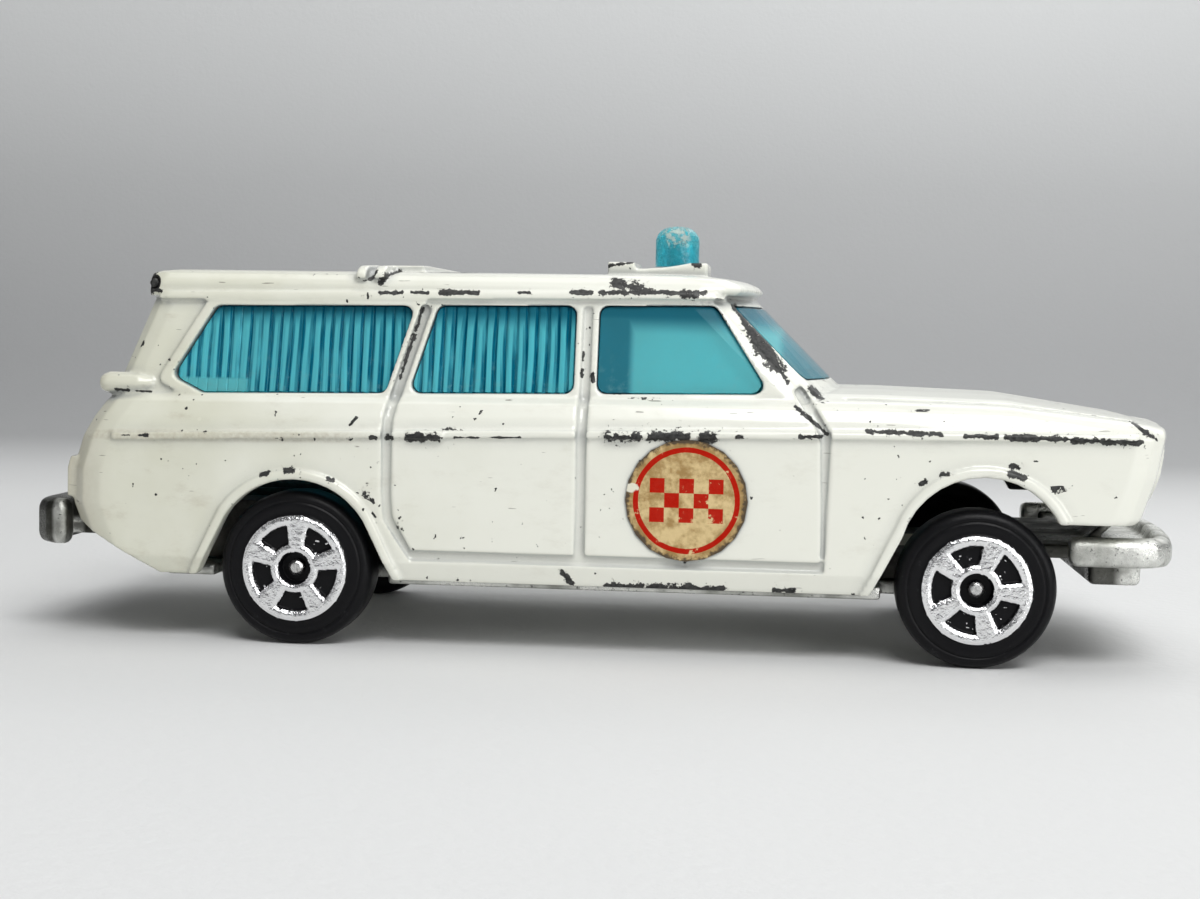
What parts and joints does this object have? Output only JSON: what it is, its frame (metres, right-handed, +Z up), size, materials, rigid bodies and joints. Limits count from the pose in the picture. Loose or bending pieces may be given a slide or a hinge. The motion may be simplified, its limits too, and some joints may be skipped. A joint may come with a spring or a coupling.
{
  "type": "toy ambulance car",
  "caption": "Small die-cast toy ambulance on a station wagon body, with a lifting tailgate, free-rolling wheels, blue glazing with moulded curtains and a roof beacon.",
  "frame": {"origin": "on the floor under the middle of the car's overall length and width, where the wheels stand", "axes": "+X towards the nose, +Y towards the car's left, +Z up"},
  "size_m": [0.0768, 0.0288, 0.0287],
  "materials": {
    "cream_enamel": "worn cream-white gloss enamel on zinc, chipped to bare metal on the edges",
    "bare_zinc": "bare die-cast zinc, dull and lightly marked",
    "blue_clear_plastic": "clear teal-blue polystyrene",
    "deep_blue_plastic": "clear deep blue polystyrene",
    "ivory_plastic": "plain ivory polystyrene",
    "steel_wire": "drawn steel wire with headed ends",
    "black_plastic": "black plastic, satin with rubbed treads",
    "bright_foil": "hot-stamped bright foil, worn at the edges",
    "label_paper": "aged paper label with a printed ring and chequer band"
  },
  "bodies": {
    "car": {"body_shell": "cream_enamel", "base_plate": "bare_zinc", "window_glazing": "blue_clear_plastic", "roof_beacon": "deep_blue_plastic", "floor_tray": "ivory_plastic", "front_axle": "steel_wire", "rear_axle": "steel_wire", "door_label_left": "label_paper", "door_label_right": "label_paper"},
    "tailgate": {"tailgate": "cream_enamel"},
    "front_left_wheel": {"front_left_wheel": "black_plastic", "front_left_foil": "bright_foil"},
    "front_right_wheel": {"front_right_wheel": "black_plastic", "front_right_foil": "bright_foil"},
    "rear_left_wheel": {"rear_left_wheel": "black_plastic", "rear_left_foil": "bright_foil"},
    "rear_right_wheel": {"rear_right_wheel": "black_plastic", "rear_right_foil": "bright_foil"}
  },
  "joints": [
    {"name": "tailgate_lift", "type": "hinge", "parent": "car", "child": "tailgate", "pos_m": [-0.03035, 0, 0.02385], "axis": [0, 1, 0], "range_deg": [0, 80]},
    {"name": "front_left_wheel_roll", "type": "hinge", "parent": "car", "child": "front_left_wheel", "pos_m": [0.0248, 0.0119, 0.00512], "axis": [0, 1, 0], "continuous": true},
    {"name": "front_right_wheel_roll", "type": "hinge", "parent": "car", "child": "front_right_wheel", "pos_m": [0.0248, -0.0119, 0.00512], "axis": [0, 1, 0], "continuous": true},
    {"name": "rear_left_wheel_roll", "type": "hinge", "parent": "car", "child": "rear_left_wheel", "pos_m": [-0.0197, 0.0119, 0.00512], "axis": [0, 1, 0], "continuous": true},
    {"name": "rear_right_wheel_roll", "type": "hinge", "parent": "car", "child": "rear_right_wheel", "pos_m": [-0.0197, -0.0119, 0.00512], "axis": [0, 1, 0], "continuous": true}
  ]
}
